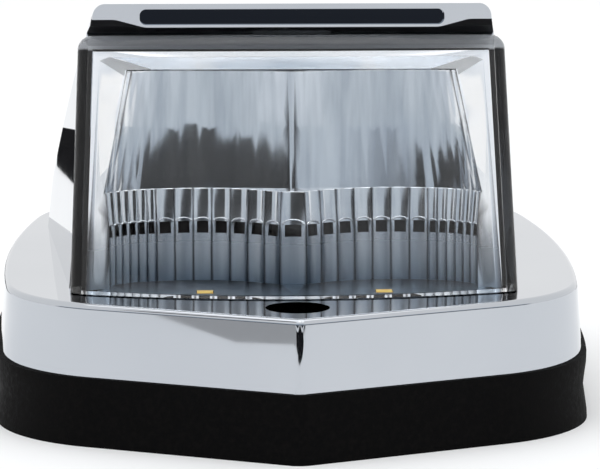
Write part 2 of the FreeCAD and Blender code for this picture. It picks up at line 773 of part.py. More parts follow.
def bowed(sketch, half, front_shift, back):
    # plan of the lens: front bowed towards the viewer, straight back
    half = term(half)
    shift = term(front_shift)
    back = term(back)
    left = FreeCAD.Vector(-half.value, shift.value, 0)
    right = FreeCAD.Vector(half.value, shift.value, 0)
    middle = FreeCAD.Vector(0, shift.value - term("lens_bow").value, 0)
    sketch.addGeometry(Part.Arc(left, middle, right), False)
    low_right = FreeCAD.Vector(half.value, back.value, 0)
    low_left = FreeCAD.Vector(-half.value, back.value, 0)
    for one, two in ((right, low_right), (low_right, low_left), (low_left, left)):
        sketch.addGeometry(Part.LineSegment(one, two), False)
    for one, two in ((0, 1), (1, 2), (2, 3), (3, 0)):
        sketch.addConstraint(Sketcher.Constraint("Coincident", one, 2, two, 1))
    fix(sketch, 1, 1, half, shift)
    fix(sketch, 1, 2, half, back)
    fix(sketch, 2, 2, -half, back)
    fix(sketch, 3, 2, -half, shift)
    bow = term("lens_bow")
    radius = (half * half + bow * bow) / (bow * 2)
    index = sketch.addConstraint(Sketcher.Constraint("Radius", 0, radius.value))
    sketch.setExpression("Constraints[%d]" % index, radius.text)


def deck_trim(body, name, gap):
    # removes what lies below a level just above the deck, seen in the leaning frame of the lens
    sketch = make_sketch(body, name + "_line", "YZ_Plane")
    ahead = term("lens_bow") + "lens_depth" + "lens_sink"
    lift = term(gap) / cosine("lens_tilt")
    low = -ahead - "lens_height"
    polygon(sketch, [
        (-ahead, lift - ahead * lens_slope), (-ahead, low), (ahead, low), (ahead, lift + ahead * lens_slope)])
    return add_pocket(body, name, sketch, term("lens_bottom_width") * 2, middle=True)


# clear lens: bowed front, sides and top with a rounded rim, open at the back and below
lens = make_lens_body("lens")
lens_sink = term("lens_sink")
widen = (lens_half_low - lens_half_top) / "lens_height"
lens_low = make_sketch(lens, "lens_low", "XY_Plane", -lens_sink)
bowed(lens_low, lens_half_low + widen * lens_sink, zero, "lens_depth")
top_slope = tangent("lens_top_lean")
lens_peak = term("lens_height") + (term("lens_depth") + "over") * top_slope
lens_block = add_pad(lens, "lens_block", lens_low, lens_peak + lens_sink + "over")
doc.recompute()
lens_sides = add_draft(lens, "lens_sides", lens_block, -lens_sink, "lens_draft", False, narrow)
top_line = make_sketch(lens, "lens_top_line", "YZ_Plane")
top_ahead = term("lens_bow") + "over"
polygon(top_line, [
    (-top_ahead, term("lens_height") - top_ahead * top_slope),
    (term("lens_depth") + "over", lens_peak),
    (term("lens_depth") + "over", lens_peak + "reach"),
    (-top_ahead, lens_peak + "reach")])
lens_top = add_pocket(lens, "lens_top", top_line, term("lens_bottom_width") * 2, middle=True)


def is_rim(edge):
    # an edge that meets the leaning top, but none of the open back
    if edge.BoundBox.YMin > term("lens_depth").value - close:
        return False
    heights = [vertex.Z - vertex.Y * top_slope.value for vertex in edge.Vertexes]
    return max(heights) > term("lens_height").value - close


add_fillet(lens, "lens_rim", lens_top, edges_where(lens_top, is_rim), "lens_edge_radius")
room_depth = lens_sink + "over"
room_low = make_sketch(lens, "room_low", "XY_Plane", -room_depth)
bowed(room_low, lens_half_low + widen * room_depth - "lens_wall", "lens_wall", term("lens_depth") + "over")
room_high = make_sketch(lens, "room_high", "XY_Plane", term("lens_height") - "lens_wall")
lean_sketch(room_high, "lens_top_lean")
bowed(room_high, lens_half_top + widen * "lens_wall" - "lens_wall", "lens_wall", term("lens_depth") + "over")
add_loft(lens, "lens_room", [room_low, room_high], "SubtractiveLoft")
deck_trim(lens, "lens_foot", "fit")
tab = make_sketch(lens, "tab_form", "XY_Plane", term("lens_height") - "fit")
lean_sketch(tab, "lens_top_lean")
tab_half = term("tab_width") / 2
rectangle(tab, -tab_half, tab_half, "tab_set", term("tab_set") + "tab_depth")
add_pad(lens, "lens_tab", tab, term("tab_height") + "fit")

# black joint behind the rim of the lens
seal = make_lens_body("lens_seal")
seal_form = make_sketch(seal, "seal_form", "XZ_Plane", -term("lens_depth") - "seal_thickness")
seal_wide = term("lens_wall") + "seal_lap"
foot = -term("seal_foot_sink")
low_half = lens_half_low - widen * foot
seal_top = term("lens_height") + term("lens_depth") * top_slope
polygon(seal_form, [
    (-low_half, foot), (-lens_half_top, seal_top - "seal_chamfer"),
    (term("seal_chamfer") - lens_half_top, seal_top), (lens_half_top - "seal_chamfer", seal_top),
    (lens_half_top, seal_top - "seal_chamfer"), (low_half, foot),
    (low_half - seal_wide, foot), (lens_half_top - seal_wide, seal_top - seal_wide),
    (seal_wide - lens_half_top, seal_top - seal_wide), (seal_wide - low_half, foot)])
add_pad(seal, "seal_ring", seal_form, "seal_thickness")
doc.recompute()
deck_trim(seal, "seal_foot", "fit")
doc.recompute()

# values of the mirror forms, in the frame of the deck
origin_z = deck_z.value


def val(item):
    return term(item).value


def spot(x, y, z=0.0):
    return FreeCAD.Vector(x, y, z)


back_flutes = 7
side_flutes = 6


def arc_spots(a, b, c, count):
    ring = Part.Arc(a, b, c)
    step = (ring.LastParameter - ring.FirstParameter) / count
    return [ring.value(ring.FirstParameter + step * i) for i in range(count + 1)]


cell_half = val("centre_cell") / 2
turn = spot(val("turn_x"), val("turn_y"))
bay_row = arc_spots(spot(cell_half, val("cusp_y")), spot(val("bay_x"), val("bay_y")), turn, back_flutes)
bay_end = spot(val("bay_end_x"), val("bay_end_y"))
bay_row += arc_spots(turn, spot(val("side_x"), val("side_y")), bay_end, side_flutes)[1:]
# above the ledge the back is flatter, with a narrow middle strip
upper_half = val("upper_cell") / 2
upper_row = []
for i, node in enumerate(bay_row):
    x = node.x
    y = node.y
    if i < back_flutes:
        x = turn.x - (turn.x - node.x) * (turn.x - upper_half) / (turn.x - cell_half)
        y = node.y + max(val("bay_y") - node.y, 0) * val("upper_fill")
    upper_row.append(spot(x, y))
top_half = val("opening_top_width") / 2 + val("mirror_top_lap")
top_row = []
for node in upper_row:
    share = (node.x - upper_half) / (upper_row[-1].x - upper_half)
    bend = val("mirror_top_bend") * share ** 4
    top_row.append(spot(upper_half + (top_half - upper_half) * share, val("mirror_top_y") - bend))


def grown(row, grow):
    # the row of flute edges, moved outward along its own normal
    moved = []
    for i, node in enumerate(row):
        way = row[min(i + 1, len(row) - 1)] - row[max(i - 1, 0)]
        moved.append(node + spot(-way.y, way.x) * (grow / way.Length))
    return moved


def leaned(row, height):
    shift = height * math.tan(math.radians(val("mirror_lean")))
    return [spot(node.x, node.y + shift, row_to(height)) for node in row]


def both_sides(row):
    return [spot(-node.x, node.y, node.z) for node in reversed(row)] + row


def closed_front(edges, row, front):
    z = row[0].z
    corners = [row[-1], spot(row[-1].x, front, z), spot(row[0].x, front, z), row[0]]
    for one, two in zip(corners, corners[1:]):
        edges.append(Part.makeLine(one, two))
    return Part.Wire(edges)


def fluted_wire(row, depth, front):
    # scalloped back line from left to right, closed by a straight front
    row = both_sides(row)
    edges = []
    for one, two in zip(row, row[1:]):
        way = two - one
        out = spot(-way.y, way.x) / way.Length
        edges.append(Part.Arc(one, (one + two) / 2 + out * depth, two).toShape())
    return closed_front(edges, row, front)


def plain_wire(row, front):
    row = both_sides(row)
    edges = [Part.makeLine(one, two) for one, two in zip(row, row[1:])]
    return closed_front(edges, row, front)


def row_to(height):
    return origin_z + height


def prism(wire, height):
    return Part.Face(wire).extrude(spot(0, 0, height))


def leaning(u, depth, w):
    # a place in the leaning frame of the lens
    tilt = math.radians(val("lens_tilt"))
    return spot(u, val("lens_side_y") + depth * math.cos(tilt) + w * math.sin(tilt),
                origin_z - depth * math.sin(tilt) + w * math.cos(tilt))


def leaning_wire(corners, depth):
    ring = [leaning(u, depth, w) for u, w in corners]
    return Part.makePolygon(ring + ring[:1])


def frame_corners(low_half, top_half, low, top, chamfer):
    # a frame wider below than above, with two cut-off upper corners
    shoulder = top - chamfer * 2 / 5
    return [
        (-low_half, low), (low_half, low), (top_half, shoulder),
        (top_half - chamfer, top), (chamfer - top_half, top), (-top_half, shoulder)]


front_y = val("lens_side_y") - val("lens_bow") - val("lens_depth") * 2
lower_top = val("lower_top")
window_top = lower_top + val("window_height")
ledge = window_top + val("cell_height")
tilt = math.radians(val("lens_tilt"))
bezel_back = val("bezel_front") + val("bezel_thickness")
mirror_top = val("opening_top") * math.cos(tilt) - bezel_back * math.sin(tilt) + val("fit")
skin = val("mirror_wall")
depth = val("flute_depth")
lens_normal = leaning(0, 1, 0) - leaning(0, 0, 0)



def upper_tiers(grow):
    # the back above the ledge: steep below, leaning more above a bend
    low = leaned(grown(upper_row, val("ledge_depth") + grow), ledge)
    high = [spot(node.x, node.y, row_to(mirror_top)) for node in grown(top_row, grow)]
    share = val("mirror_mid_share")
    middle = []
    for i, (foot, head) in enumerate(zip(low, high)):
        sag = val("mirror_sag") * (1 - (i / (len(low) - 1)) ** 4)
        middle.append(foot + (head - foot) * share - spot(0, sag))
    return [low, middle, high]


# outside of the mirror moulding
hull_row = grown(upper_row, val("window_depth") + skin)
lower_hull = Part.makeLoft([
    plain_wire(leaned(hull_row, 0), front_y),
    plain_wire(leaned(hull_row, ledge + skin), front_y)], True, True)
upper_hull = Part.makeLoft([plain_wire(row, front_y) for row in upper_tiers(skin)], True, True)
outer = lower_hull.fuse(upper_hull)
reach = val("reach")
sheet_corners = [(-reach, -reach), (reach, -reach), (reach, reach), (-reach, reach)]
behind = Part.Face(leaning_wire(sheet_corners, bezel_back - val("over")))
outer = outer.common(behind.extrude(lens_normal * reach))
draft_rise = math.tan(math.radians(val("tray_draft")))
inside_low = val("tray_width") / 2 - val("tray_wall") - val("fit") - draft_rise * val("tray_low")
inside_top = inside_low - draft_rise * val("lens_height")
inside_z = row_to(val("lens_height"))
inside = [spot(-inside_low, 0, row_to(0)), spot(inside_low, 0, row_to(0))]
inside += [spot(inside_top, 0, inside_z), spot(-inside_top, 0, inside_z)]
outer = outer.common(Part.Face(Part.makePolygon(inside + inside[:1])).extrude(spot(0, reach, 0)))

# bevelled frame behind the lens
bezel_foot = -val("seal_foot_sink")
bezel_top_w = val("lens_height") - val("lens_wall") - val("fit") * 2
bezel_low = val("bezel_low_width") / 2
bezel_top = val("bezel_top_width") / 2
plate_corners = [(-bezel_low, bezel_foot), (bezel_low, bezel_foot)]
plate_corners += [(bezel_top, bezel_top_w), (-bezel_top, bezel_top_w)]
plate = Part.Face(leaning_wire(plate_corners, val("bezel_front")))
plate = plate.extrude(lens_normal * val("bezel_thickness"))
slope = val("bezel_bevel")
bevel_foot = bezel_foot - val("over")
wide = frame_corners(bezel_low - slope, bezel_top - slope, bevel_foot,
                     bezel_top_w - slope, val("bezel_chamfer"))
tight = frame_corners(val("opening_low_width") / 2, val("opening_top_width") / 2, bevel_foot,
                      val("opening_top"), val("opening_chamfer"))
ends = [leaning_wire(wide, val("bezel_front") - close), leaning_wire(tight, bezel_back + close)]
plate = plate.cut(Part.makeLoft(ends, True, True))

# floor that carries on to the foot of the lens
floor_half = inside_low - val("fit")
floor_low = row_to(-val("floor_thickness"))
floor_back = val("bay_y") + val("window_depth") + skin
floor_ring = []
for step in range(2 * row_steps + 1):
    x = floor_half * (step / row_steps - 1)
    floor_ring.append(spot(x, lens_inner_y(term(x)).value + val("floor_gap"), floor_low))
floor_ring += [spot(floor_half, floor_back, floor_low), spot(-floor_half, floor_back, floor_low)]
floor = prism(Part.makePolygon(floor_ring + floor_ring[:1]), val("floor_thickness"))
above_floor = Part.makeBox(2 * reach, reach, reach, spot(-reach, 0, row_to(val("fit"))))
mirror = outer.fuse([plate.common(above_floor), floor])

# room in front of the mirror, tier by tier
room = Part.makeLoft([
    fluted_wire(leaned(bay_row, 0), depth, front_y),
    fluted_wire(leaned(bay_row, window_top), depth, front_y)], True, True)
cell_row = grown(bay_row, val("ledge_depth") / 2)
upper_depth = depth * val("upper_share")
cells = Part.makeLoft([
    fluted_wire(leaned(bay_row, window_top), depth, front_y),
    fluted_wire(leaned(cell_row, ledge), depth, front_y)], True, True)
upper = Part.makeLoft([fluted_wire(row, upper_depth, front_y) for row in upper_tiers(0)], True, True)
cutters = [room, cells, upper]
window_row = both_sides(leaned(bay_row, lower_top))
for one, two in zip(window_row, window_row[1:]):
    way = two - one
    middle = (one + two) / 2
    wide = way.Length * val("window_share")
    corner = spot(-wide / 2, -val("window_depth"))
    window = Part.makeBox(wide, val("window_depth") * 2, val("window_height"), corner)
    heading = math.degrees(math.atan2(way.y, way.x))
    window.Placement = FreeCAD.Placement(middle, FreeCAD.Rotation(spot(0, 0, 1), heading))
    cutters.append(window)
for side in (-1, 1):
    size_x = val("led_width") + val("fit") * 2
    size_y = val("led_length") + val("fit") * 2
    led_x = side * val("led_spread") / 2
    corner = spot(led_x - size_x / 2, val("led_y") - size_y / 2, row_to(-val("over") * 2))
    cutters.append(Part.makeBox(size_x, size_y, val("over") * 4, corner))
mirror = mirror.cut(cutters)
board_face = -val("tray_low") + val("tray_floor") + val("board_thickness")
feet_height = -val("floor_thickness") - board_face
foot_wide = val("mirror_foot")
for side in (-1, 1):
    corner = spot(side * val("bay_x") / 2 - foot_wide / 2, val("led_y"), row_to(board_face))
    mirror = mirror.fuse(Part.makeBox(foot_wide, foot_wide, feet_height, corner))
mirror = max(mirror.Solids, key=lambda item: item.Volume)
reflector = doc.addObject("Part::Feature", "reflector")
reflector.Label = "reflector"
reflector.Shape = mirror.removeSplitter()
reflector.Placement = FreeCAD.Placement(spot(0, -frame_mid.value), FreeCAD.Rotation())
doc.recompute()

# black tray behind the mirror: open to the front, with two feet on the deck and a hole for the leads
def slanted_block(body, name, corners, width, low):
    # side view pushed out to both sides, narrowing upward
    form = make_sketch(body, name + "_form", "YZ_Plane")
    polygon(form, corners)
    block = add_pad(body, name + "_block", form, width, middle=True)
    doc.recompute()
    return add_draft(body, name + "_sides", block, low, "tray_draft", False, narrow)


tray_depth = term("bezel_front") + "bezel_thickness"
tray_low = -term("tray_low")
tray_shell = make_body("tray_shell")
slanted_block(tray_shell, "tray", [
    (lens_plane_y(tray_depth, tray_low), deck_z + tray_low), ("tray_rear_y", deck_z + tray_low),
    ("tray_rear_y", deck_z + "tray_rear_top"),
    (lens_plane_y(tray_depth, "tray_top") + "tray_roof", deck_z + "tray_top"),
    (lens_plane_y(tray_depth, "tray_top"), deck_z + "tray_top")], "tray_width", deck_z + tray_low)
feet = make_sketch(tray_shell, "feet_form", "XY_Plane", deck_z)
for side in (-1, 1):
    circle(feet, term("ear_x") * side, "ear_y", "ear_diameter")
add_pad(tray_shell, "feet", feet, "ear_height")
for side in (-1, 1):
    web = make_sketch(tray_shell, "web_form_%d" % (side + 1), "XY_Plane", deck_z)
    web_half = term("web_width") / 2
    middle = term("ear_x") * side
    rectangle(web, middle - web_half, middle + web_half, term("tray_rear_y") - term("tray_wall") / 2, "ear_y")
    add_pad(tray_shell, "web_%d" % (side + 1), web, "ear_height")
screw_bosses = make_sketch(tray_shell, "screw_boss_form", "XY_Plane", deck_z + tray_low)
for side in (-1, 1):
    boss_size = term("small_screw") + term("screw_wall") * 2
    circle(screw_bosses, term("board_screw_x") * side, "board_screw_y", boss_size)
boss_drop = term("screw_wall") * 2
add_pad(tray_shell, "screw_bosses", screw_bosses, boss_drop, down=True)

mouth_depth = tray_depth - "tray_roof"
inner_low = tray_low + "tray_floor"
inner_top = term("tray_top") - "tray_wall"
tray_core = make_body("tray_core")
slanted_block(tray_core, "tray_room", [
    (lens_plane_y(mouth_depth, inner_low), deck_z + inner_low),
    (term("tray_rear_y") - "tray_wall", deck_z + inner_low),
    (term("tray_rear_y") - "tray_wall", deck_z + "tray_rear_top" - "tray_wall"),
    (lens_plane_y(tray_depth, inner_top) + "tray_roof" - "tray_wall", deck_z + inner_top),
    (lens_plane_y(mouth_depth, inner_top), deck_z + inner_top)],
    term("tray_width") - term("tray_wall") * 2, deck_z + inner_low)
bores = make_sketch(tray_core, "feet_bores", "XY_Plane", deck_z - "over")
screw_bores = make_sketch(tray_core, "screw_bore_form", "XY_Plane", deck_z + tray_low - boss_drop)
for side in (-1, 1):
    circle(bores, term("ear_x") * side, "ear_y", "small_screw")
    circle(screw_bores, term("board_screw_x") * side, "board_screw_y", "small_screw")
add_pad(tray_core, "feet_bored", bores, "ear_height")
add_pad(tray_core, "screws_bored", screw_bores, boss_drop + "tray_floor" + "over")
lead_way = make_sketch(tray_core, "lead_way", "XZ_Plane", -term("tray_rear_y") - "over")
circle(lead_way, zero, deck_z + "grommet_z", "grommet_diameter")
add_pad(tray_core, "lead_bored", lead_way, term("tray_wall") + term("over") * 2)
tray = doc.addObject("Part::Cut", "module_tray")
tray.Base = tray_shell
tray.Tool = tray_core
tray.Label = "module_tray"
doc.recompute()

# circuit board with a tongue for the two light sources
board = make_body("led_board")
board_low = deck_z + inner_low
board_form = make_sketch(board, "board_form", "XY_Plane", board_low)
board_half = term("board_width") / 2
tongue_half = term("tongue_width") / 2
polygon(board_form, [
    (-tongue_half, "board_front_y"), (tongue_half, "board_front_y"),
    (tongue_half, "tongue_y"), (board_half, "tongue_y"),
    (board_half, "board_rear_y"), (-board_half, "board_rear_y"),
    (-board_half, "tongue_y"), (-tongue_half, "tongue_y")])
add_pad(board, "board_plate", board_form, "board_thickness")
board_holes = make_sketch(board, "board_holes", "XY_Plane", board_low)
for side in (-1, 1):
    circle(board_holes, term("board_screw_x") * side, "board_screw_y", term("small_screw") + term("fit") * 2)
doc.recompute()
add_pocket(board, "board_bored", board_holes, term("board_thickness") + "over", up=True)
doc.recompute()
board_top = board_low + "board_thickness"


def make_box(name, x, y, z, size_x, size_y, size_z):
    box = doc.addObject("Part::Box", name)
    box.Label = name
    for prop, size in (("Length", size_x), ("Width", size_y), ("Height", size_z)):
        bind(box, prop, size)
    bind(box, "Placement.Base.x", term(x) - term(size_x) / 2)
    bind(box, "Placement.Base.y", term(y) - term(size_y) / 2 - frame_mid)
    bind(box, "Placement.Base.z", z)
    return box


def make_rod(name, x, y, z, diameter, height):
    rod = doc.addObject("Part::Cylinder", name)
    rod.Label = name
    bind(rod, "Radius", term(diameter) / 2)
    bind(rod, "Height", height)
    bind(rod, "Placement.Base.x", x)
    bind(rod, "Placement.Base.y", term(y) - frame_mid)
    bind(rod, "Placement.Base.z", z)
    return rod


def join(name, pieces):
    group = doc.addObject("Part::MultiFuse", name)
    group.Shapes = pieces
    group.Label = name
    return group


led_half = term("led_spread") / 2
led_size = ("led_width", "led_length", "led_height")
led_left = make_box("led_left", -led_half, "led_y", board_top, *led_size)
led_right = make_box("led_right", led_half, "led_y", board_top, *led_size)

resistors = []
resistor_count = 4
resistor_size = ("resistor_length", "resistor_width", "resistor_height")
resistor_y = term("board_rear_y") - "resistor_gap"
for i in range(resistor_count):
    x = term("resistor_pitch") * (i - (resistor_count - 1) / 2)
    resistors.append(make_box("resistor_%d" % i, x, resistor_y, board_top, *resistor_size))
ballast = doc.addObject("Part::Compound", "ballast_resistors")
ballast.Links = resistors
diode_y = term("board_rear_y") - "diode_gap"
diode_size = ("diode_length", "diode_width", "diode_height")
diode = make_box("rectifier_diode", -term("diode_x"), diode_y, board_top, *diode_size)
suppressor_size = ("suppressor_length", "suppressor_width", "diode_height")
suppressor = make_box("surge_suppressor", "diode_x", diode_y, board_top, *suppressor_size)
capacitor_y = term("board_rear_y") - "capacitor_gap"
capacitor_size = ("capacitor_diameter", "capacitor_height")
capacitor = make_rod("smoothing_capacitor", "capacitor_x", capacitor_y, board_top, *capacitor_size)
pins = []
pin_y = term("board_rear_y") - "pin_gap"
for side in (-1, 1):
    x = term("pin_x") * side
    pins.append(make_rod("pin_%d" % (side + 1), x, pin_y, board_top, "pin_diameter", "pin_height"))
terminals = doc.addObject("Part::Compound", "solder_terminals")
terminals.Links = pins
board_screws = []
module_screws = []
head_size = ("small_head", "small_head_height")
ear_shank = term("deck_thickness") + "ear_height" - "screw_wall"
for side in (-1, 1):
    mark = side + 1
    x = term("board_screw_x") * side
    y = "board_screw_y"
    shank = make_rod("board_shank_%d" % mark, x, y, board_top - "board_shank", "small_screw", "board_shank")
    head = make_rod("board_head_%d" % mark, x, y, board_top, *head_size)
    board_screws.append(join("board_screw_%d" % mark, [shank, head]))
    x = term("ear_x") * side
    y = "ear_y"
    shank = make_rod("module_shank_%d" % mark, x, y, deck_under, "small_screw", ear_shank)
    head = make_rod("module_head_%d" % mark, x, y, deck_under - "small_head_height", *head_size)
    module_screws.append(join("module_screw_%d" % mark, [shank, head]))
board_set = doc.addObject("Part::Compound", "board_screws")
board_set.Links = board_screws
module_set = doc.addObject("Part::Compound", "module_screws")
module_set.Links = module_screws

# rubber bush in the tray's rear wall, turned about its own axis
grommet = make_body("wire_grommet")
bush_rear = term("tray_rear_y") + "flange_thickness"
bush = make_sketch(grommet, "bush_form", "XZ_Plane", -bush_rear)
circle(bush, zero, deck_z + "grommet_z", "grommet_diameter")
add_pad(grommet, "bush", bush, term("tray_wall") + "flange_thickness")
flange = make_sketch(grommet, "flange_form", "XZ_Plane", -bush_rear)
circle(flange, zero, deck_z + "grommet_z", term("grommet_diameter") + term("flange_lap") * 2)
add_pad(grommet, "flange", flange, "flange_thickness")
bore = make_sketch(grommet, "bush_bore", "XZ_Plane", -bush_rear - "over")
circle(bore, zero, deck_z + "grommet_z", "grommet_bore")
doc.recompute()
add_pocket(grommet, "bush_bored", bore, term("tray_wall") + "flange_thickness" + term("over") * 2, up=True)
doc.recompute()

nodes = [gasket, housing, lens, seal, reflector, tray, board, led_left, led_right, ballast, diode, suppressor,
         capacitor, terminals, board_set, module_set, grommet]
for item in doc.Objects:
    if "Invalid" in item.State or "Error" in item.State:
        raise RuntimeError("%s is %s" % (item.Name, item.State))
for item in nodes:
    if item.Shape.isNull() or not item.Shape.isValid() or item.Shape.Volume <= 0:
        raise RuntimeError("%s has no sound shape" % item.Label)
os.makedirs("parts", exist_ok=True)
for item in nodes:
    item.Shape.exportStep("parts/%s.step" % item.Label)
    print(item.Label, round(item.Shape.Volume), len(item.Shape.Solids))
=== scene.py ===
import math
import bmesh
import bpy
from mathutils import Euler, Matrix, Vector


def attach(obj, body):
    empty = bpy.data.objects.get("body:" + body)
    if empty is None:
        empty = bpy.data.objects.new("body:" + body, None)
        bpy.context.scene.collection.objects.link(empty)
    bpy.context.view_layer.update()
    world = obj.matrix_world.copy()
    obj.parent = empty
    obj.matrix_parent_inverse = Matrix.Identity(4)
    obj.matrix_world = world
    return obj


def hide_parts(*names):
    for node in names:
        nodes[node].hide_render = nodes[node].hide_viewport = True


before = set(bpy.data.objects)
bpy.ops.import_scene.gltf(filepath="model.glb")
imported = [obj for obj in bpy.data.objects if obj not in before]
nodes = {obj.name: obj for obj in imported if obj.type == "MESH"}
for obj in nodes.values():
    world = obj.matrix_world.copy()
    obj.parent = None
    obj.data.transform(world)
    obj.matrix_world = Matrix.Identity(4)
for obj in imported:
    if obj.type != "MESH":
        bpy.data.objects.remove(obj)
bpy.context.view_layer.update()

scene = bpy.context.scene
mm = 0.001
print("frame loaded", len(nodes), "nodes")


def newMaterial(name):
    material = bpy.data.materials.new(name)
    material.use_nodes = True
    shader = material.node_tree.nodes["Principled BSDF"]
    return material, material.node_tree, shader


def addNode(tree, kind, **settings):
    node = tree.nodes.new(kind)
    for key, value in settings.items():
        if key in node.inputs:
            node.inputs[key].default_value = value
        else:
            setattr(node, key, value)
    return node


def objectNoise(tree, scale, detail, stretch=(1, 1, 1)):
    coords = addNode(tree, "ShaderNodeTexCoord")
    mapping = addNode(tree, "ShaderNodeMapping")
    mapping.inputs["Scale"].default_value = stretch
    noise = addNode(tree, "ShaderNodeTexNoise", Scale=scale, Detail=detail)
    tree.links.new(coords.outputs["Object"], mapping.inputs["Vector"])
    tree.links.new(mapping.outputs["Vector"], noise.inputs["Vector"])
    return noise.outputs["Fac"]


def asColour(value):
    return (*value, 1) if isinstance(value, tuple) else (value, value, value, 1)


def ramped(tree, source, low, high, start=0.3, end=0.7):
    ramp = addNode(tree, "ShaderNodeValToRGB")
    first, last = ramp.color_ramp.elements
    first.position = start
    last.position = end
    first.color = asColour(low)
    last.color = asColour(high)
    tree.links.new(source, ramp.inputs["Fac"])
    return ramp.outputs["Color"]


def heightShare(tree, low, high):  # 0 below the low level of the piece, 1 above the high one
    coords = addNode(tree, "ShaderNodeTexCoord")
    parts = addNode(tree, "ShaderNodeSeparateXYZ")
    share = addNode(tree, "ShaderNodeMapRange")
    share.inputs["From Min"].default_value = low
    share.inputs["From Max"].default_value = high
    tree.links.new(coords.outputs["Object"], parts.inputs["Vector"])
    tree.links.new(parts.outputs["Z"], share.inputs["Value"])
    return share.outputs["Result"]


chromeLook = {
    "dark": (0.475, 0.50, 0.54), "light": (0.525, 0.55, 0.585),
    "cloud": 14, "cloudDetail": 4,
    "smooth": 0.012, "rough": 0.035,
    "wipe": 60, "wipeDetail": 5, "wipeStretch": (1, 0.3, 1),  # faint polishing marks
}


def chromePlate():
    look = chromeLook
    material, tree, shader = newMaterial("chromePlate")
    shader.inputs["Metallic"].default_value = 1.0
    cloud = objectNoise(tree, look["cloud"], look["cloudDetail"])
    tone = ramped(tree, cloud, look["dark"], look["light"])
    tree.links.new(tone, shader.inputs["Base Color"])
    wipe = objectNoise(tree, look["wipe"], look["wipeDetail"], look["wipeStretch"])
    gloss = ramped(tree, wipe, look["smooth"], look["rough"])
    tree.links.new(gloss, shader.inputs["Roughness"])
    return material


rubberLook = {
    "dark": (0.0008, 0.0008, 0.0009), "light": (0.0042, 0.0038, 0.0037),
    "speck": 900, "speckDetail": 6, "speckSpan": (0.42, 0.72),
    "rough": (0.62, 0.85), "shine": 0.07,
    "grain": 2600, "grainDetail": 2, "grainStrength": 0.25, "grainDepth": 0.2 * mm,
}


def padRubber():
    look = rubberLook
    material, tree, shader = newMaterial("padRubber")
    speck = objectNoise(tree, look["speck"], look["speckDetail"])
    tone = ramped(tree, speck, look["dark"], look["light"], *look["speckSpan"])
    tree.links.new(tone, shader.inputs["Base Color"])
    tree.links.new(ramped(tree, speck, *look["rough"]), shader.inputs["Roughness"])
    shader.inputs["Specular IOR Level"].default_value = look["shine"]
    grain = objectNoise(tree, look["grain"], look["grainDetail"])
    bump = addNode(tree, "ShaderNodeBump", Strength=look["grainStrength"], Distance=look["grainDepth"])
    tree.links.new(grain, bump.inputs["Height"])
    tree.links.new(bump.outputs["Normal"], shader.inputs["Normal"])
    return material


mirrorLook = {
    "dark": (0.70, 0.73, 0.77), "light": (0.92, 0.94, 0.96),
    "streak": 420, "streakDetail": 2, "streakStretch": (1, 0.4, 0.02), "streakSpan": (0.35, 0.65),
    "foot": 28.3 * mm, "rim": 44.0 * mm,  # painted shade: the mirror's colour darkens, and it gets rougher, towards the foot
    "footShade": (0.275, 0.335, 0.395), "unshadedTone": (1.0, 1.0, 1.0), "footShadeSpan": (0.0, 0.9),
    "rough": 0.33, "smooth": 0.13, "roughSpan": (0.3, 1.0),
    "joint": (0.05, 0.05, 0.055),
}


def mirrorCoat():
    look = mirrorLook
    material, tree, shader = newMaterial("mirrorCoat")
    shader.inputs["Metallic"].default_value = 1.0
    # painted shade: fine vertical streaks stand in for the faint shading of flutes on the upper mirror
    streak = objectNoise(tree, look["streak"], look["streakDetail"], look["streakStretch"])
    coat = ramped(tree, streak, look["dark"], look["light"], *look["streakSpan"])
    rise = heightShare(tree, look["foot"], look["rim"])
    # painted shade: the base colour is multiplied darker towards the foot of the mirror
    footShade = ramped(tree, rise, look["footShade"], look["unshadedTone"], *look["footShadeSpan"])
    fade = addNode(tree, "ShaderNodeMix", data_type="RGBA", blend_type="MULTIPLY")
    fade.inputs["Factor"].default_value = 1.0
    tree.links.new(coat, fade.inputs["A"])
    tree.links.new(footShade, fade.inputs["B"])
    joint = addNode(tree, "ShaderNodeAttribute", attribute_name="joint")
    seam = addNode(tree, "ShaderNodeMix", data_type="RGBA")
    seam.inputs["B"].default_value = asColour(look["joint"])
    tree.links.new(joint.outputs["Fac"], seam.inputs["Factor"])
    tree.links.new(fade.outputs["Result"], seam.inputs["A"])
    tree.links.new(seam.outputs["Result"], shader.inputs["Base Color"])
    gloss = ramped(tree, rise, look["rough"], look["smooth"], *look["roughSpan"])
    tree.links.new(gloss, shader.inputs["Roughness"])
    return material


lensLook = {"tint": (0.985, 0.99, 0.995), "ior": 1.3, "haze": 40, "hazeDetail": 3, "rough": (0.0, 0.012)}


def clearLens():
    look = lensLook
    material, tree, shader = newMaterial("clearLens")
    shader.inputs["Base Color"].default_value = asColour(look["tint"])
    shader.inputs["Transmission Weight"].default_value = 1.0
    shader.inputs["IOR"].default_value = look["ior"]
    haze = objectNoise(tree, look["haze"], look["hazeDetail"])
    tree.links.new(ramped(tree, haze, *look["rough"]), shader.inputs["Roughness"])
    return material


blackLook = {
    "dark": (0.006, 0.006, 0.007), "light": (0.016, 0.016, 0.018),
    "cloud": 240, "cloudDetail": 4, "rough": (0.55, 0.7), "shine": 0.12,
}


def blackPlastic(name):
    look = blackLook
    material, tree, shader = newMaterial(name)
    cloud = objectNoise(tree, look["cloud"], look["cloudDetail"])
    tree.links.new(ramped(tree, cloud, look["dark"], look["light"]), shader.inputs["Base Color"])
    tree.links.new(ramped(tree, cloud, *look["rough"]), shader.inputs["Roughness"])
    shader.inputs["Specular IOR Level"].default_value = look["shine"]
    return material


# the seal's pale top band is painted light
sealLook = {"paintedTopLight": (0.80, 0.82, 0.86), "band": 3.2 * mm, "fade": 0.4 * mm, "rough": 0.6}


